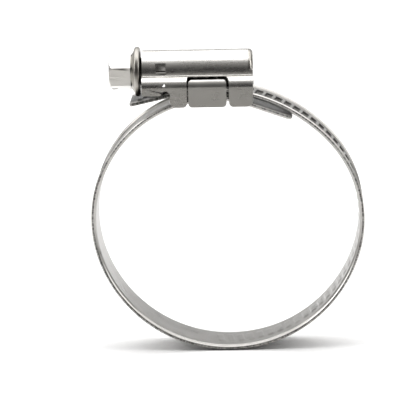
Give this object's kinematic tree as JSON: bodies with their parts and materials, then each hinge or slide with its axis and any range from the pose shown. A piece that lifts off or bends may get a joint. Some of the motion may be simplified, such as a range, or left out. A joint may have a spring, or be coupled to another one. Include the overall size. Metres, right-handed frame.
{
  "type": "hose clamp",
  "caption": "Worm-drive hose clamp: a hexagon-head screw in a pressed housing pulls a threaded steel band tight round a hose.",
  "frame": {"origin": "centre of the band loop, on the hose axis, in the middle of the band width", "axes": "+Y along the hose axis, +Z from the hose axis to the housing, +X along the screw away from its hexagon head"},
  "size_m": [0.0594, 0.0138, 0.0663],
  "materials": {
    "housing_steel": "bright rolled stainless sheet, pressed",
    "band_steel": "cold-rolled stainless strip with pressed thread marks",
    "screw_steel": "cold-headed steel, bright zinc plated"
  },
  "bodies": {
    "housing_body": {"housing": "housing_steel", "saddle": "housing_steel", "band_fixed_end": "band_steel"},
    "screw_body": {"worm_screw": "screw_steel"},
    "band_link_01": {"band_link_01": "band_steel"},
    "band_link_02": {"band_link_02": "band_steel"},
    "band_link_03": {"band_link_03": "band_steel"},
    "band_link_04": {"band_link_04": "band_steel"},
    "band_link_05": {"band_link_05": "band_steel"},
    "band_threaded_end": {"band_threaded_end": "band_steel"}
  },
  "joints": [
    {"name": "screw_turn", "type": "hinge", "parent": "housing_body", "child": "screw_body", "pos_m": [-0.0125, 0, 0.03112], "axis": [1, 0, 0], "range_deg": [-900, 2160]},
    {"name": "band_flex_01", "type": "hinge", "parent": "housing_body", "child": "band_link_01", "pos_m": [-0.01996, 0, 0.01893], "axis": [0, -1, 0], "range_deg": [-1.17, 2.81]},
    {"name": "band_flex_02", "type": "hinge", "parent": "band_link_01", "child": "band_link_02", "pos_m": [-0.02854, 0, -0.00489], "axis": [0, -1, 0], "range_deg": [-1.88, 4.51]},
    {"name": "band_flex_03", "type": "hinge", "parent": "band_link_02", "child": "band_link_03", "pos_m": [-0.01367, 0, -0.02558], "axis": [0, -1, 0], "range_deg": [-2.24, 5.37]},
    {"name": "band_flex_04", "type": "hinge", "parent": "band_link_03", "child": "band_link_04", "pos_m": [0.01181, 0, -0.02648], "axis": [0, -1, 0], "range_deg": [-1.78, 4.27]},
    {"name": "band_flex_05", "type": "hinge", "parent": "band_link_04", "child": "band_link_05", "pos_m": [0.02816, 0, -0.00692], "axis": [0, -1, 0], "range_deg": [-1.1, 2.64]},
    {"name": "band_flex_06", "type": "hinge", "parent": "band_link_05", "child": "band_threaded_end", "pos_m": [0.02104, 0, 0.01729], "axis": [0, -1, 0], "range_deg": [-0.91, 2.19]}
  ],
  "couplings": [
    {"joint": "band_flex_01", "follows": "screw_turn", "ratio": 0.001276},
    {"joint": "band_flex_02", "follows": "screw_turn", "ratio": 0.0020463},
    {"joint": "band_flex_03", "follows": "screw_turn", "ratio": 0.0024376},
    {"joint": "band_flex_04", "follows": "screw_turn", "ratio": 0.0019383},
    {"joint": "band_flex_05", "follows": "screw_turn", "ratio": 0.0011985},
    {"joint": "band_flex_06", "follows": "screw_turn", "ratio": 0.00099593}
  ]
}
